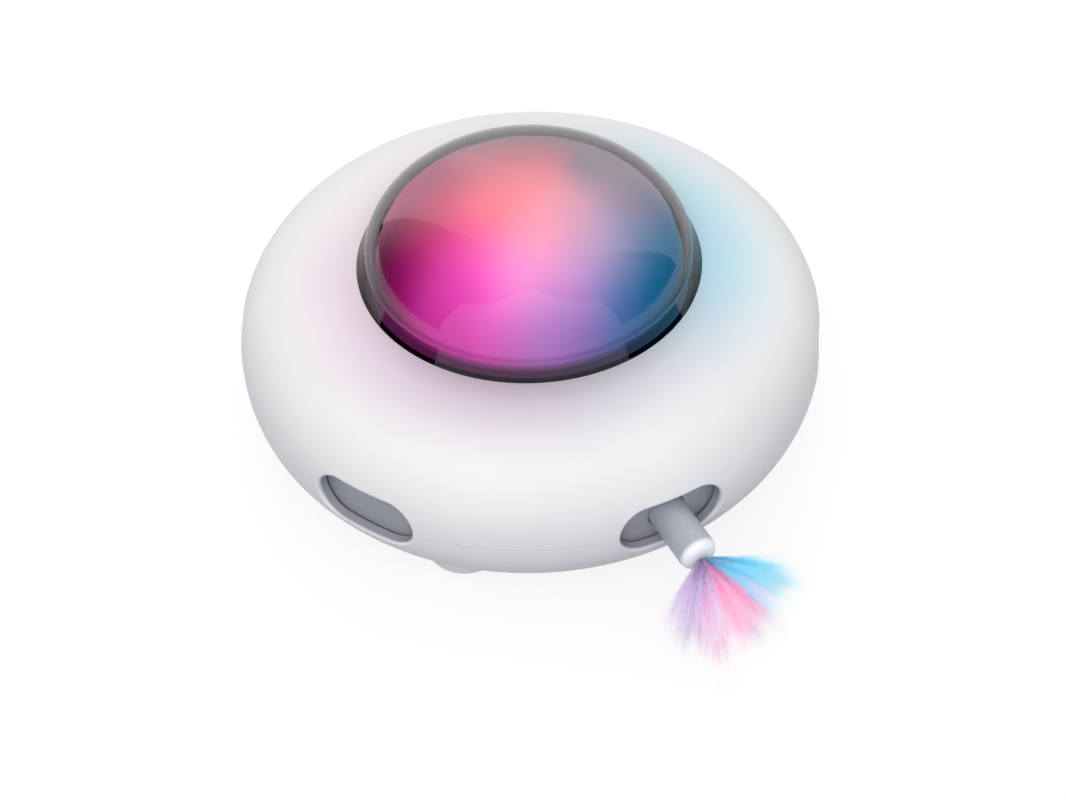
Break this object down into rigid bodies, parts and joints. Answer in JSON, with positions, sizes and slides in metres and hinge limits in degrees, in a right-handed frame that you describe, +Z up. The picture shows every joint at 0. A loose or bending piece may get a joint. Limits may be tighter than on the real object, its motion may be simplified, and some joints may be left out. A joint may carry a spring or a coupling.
{
  "type": "automatic cat toy",
  "caption": "Saucer-shaped automatic cat toy: light dome on a white casing with windows round its waist, and a feather wand that slides out through one.",
  "frame": {"origin": "on the body's axis, on the plane the feet rest on", "axes": "+Z up along the body's axis, -Y the way the wand points, X across the wand"},
  "size_m": [0.19, 0.241, 0.0961],
  "materials": {
    "shell_white": "satin gloss moulded white",
    "foot_rubber": "soft white rubber",
    "dome_smoke": "clear smoked plastic, polished",
    "seal_silicone": "dark soft seal",
    "diffuser_frosted": "frosted, lit from below in pink, violet and blue",
    "inner_plastic": "moulded",
    "circuit_board": "green solder mask",
    "led_lens": "lamp lenses",
    "screw_steel": "zinc-plated",
    "connector_plastic": "natural nylon",
    "cell_wrap": "wrapped pouch cell",
    "foam_tape": "foam tape",
    "chip_black": "moulded packages",
    "socket_steel": "nickel-plated shell",
    "gearbox_plastic": "filled nylon",
    "motor_steel": "drawn steel",
    "lead_jacket": "soft jacket",
    "gear_plastic": "slippery natural plastic",
    "drum_plastic": "grey satin",
    "wand_plastic": "satin light grey",
    "feather_lilac": "dyed down",
    "feather_pink": "dyed down",
    "feather_blue": "dyed down",
    "button_plastic": "satin"
  },
  "bodies": {
    "casing": {"lower_shell": "shell_white", "upper_shell": "shell_white", "rubber_feet": "foot_rubber", "dome_cover": "dome_smoke", "dome_seal": "seal_silicone", "light_diffuser": "diffuser_frosted", "light_deck": "inner_plastic", "led_board": "circuit_board", "leds": "led_lens", "deck_screws": "screw_steel", "led_screws": "screw_steel", "deck_connector": "connector_plastic", "battery_cell": "cell_wrap", "battery_tape": "foam_tape", "main_board": "circuit_board", "board_chips": "chip_black", "board_screws": "screw_steel", "charging_socket": "socket_steel", "power_switch": "chip_black", "gearbox_case": "gearbox_plastic", "gearbox_cover": "gearbox_plastic", "gearbox_screws": "screw_steel", "motor_can": "motor_steel", "motor_cap": "connector_plastic", "motor_leads": "lead_jacket", "power_leads": "lead_jacket", "board_connector": "connector_plastic", "light_lead": "lead_jacket", "slide_ring": "gear_plastic", "ring_screws": "screw_steel"},
    "turntable": {"turntable": "drum_plastic", "rack_keeper": "gear_plastic", "keeper_screws": "screw_steel", "drum": "drum_plastic", "drum_screws": "screw_steel", "wand_guide": "gear_plastic", "guide_screws": "screw_steel"},
    "drive": {"sun_gear": "gear_plastic", "output_shaft": "motor_steel", "gear_screw": "screw_steel"},
    "wand": {"wand_carriage": "gear_plastic", "wand_rod": "wand_plastic", "feather_plug": "wand_plastic", "feather_lilac": "feather_lilac", "feather_pink": "feather_pink", "feather_blue": "feather_blue"},
    "button": {"power_button": "button_plastic"}
  },
  "joints": [
    {"name": "table_turn", "type": "hinge", "parent": "casing", "child": "turntable", "pos_m": [0, 0, 0], "axis": [0, 0, 1], "range_deg": [-6.5, 6.5]},
    {"name": "sun_spin", "type": "hinge", "parent": "turntable", "child": "drive", "pos_m": [0, 0, 0], "axis": [0, 0, 1], "range_deg": [0, 355.25]},
    {"name": "wand_slide", "type": "slide", "parent": "turntable", "child": "wand", "axis": [0, 1, 0], "range_m": [0, 0.062], "deforming": ["feather_lilac", "feather_pink", "feather_blue"]},
    {"name": "button_press", "type": "slide", "parent": "casing", "child": "button", "axis": [0, 0, 1], "range_m": [0, 0.0008], "stiffness_N_per_m": 200, "springref_m": -0.003}
  ],
  "couplings": [
    {"joint": "sun_spin", "follows": "wand_slide", "rad_per_m": 100}
  ]
}
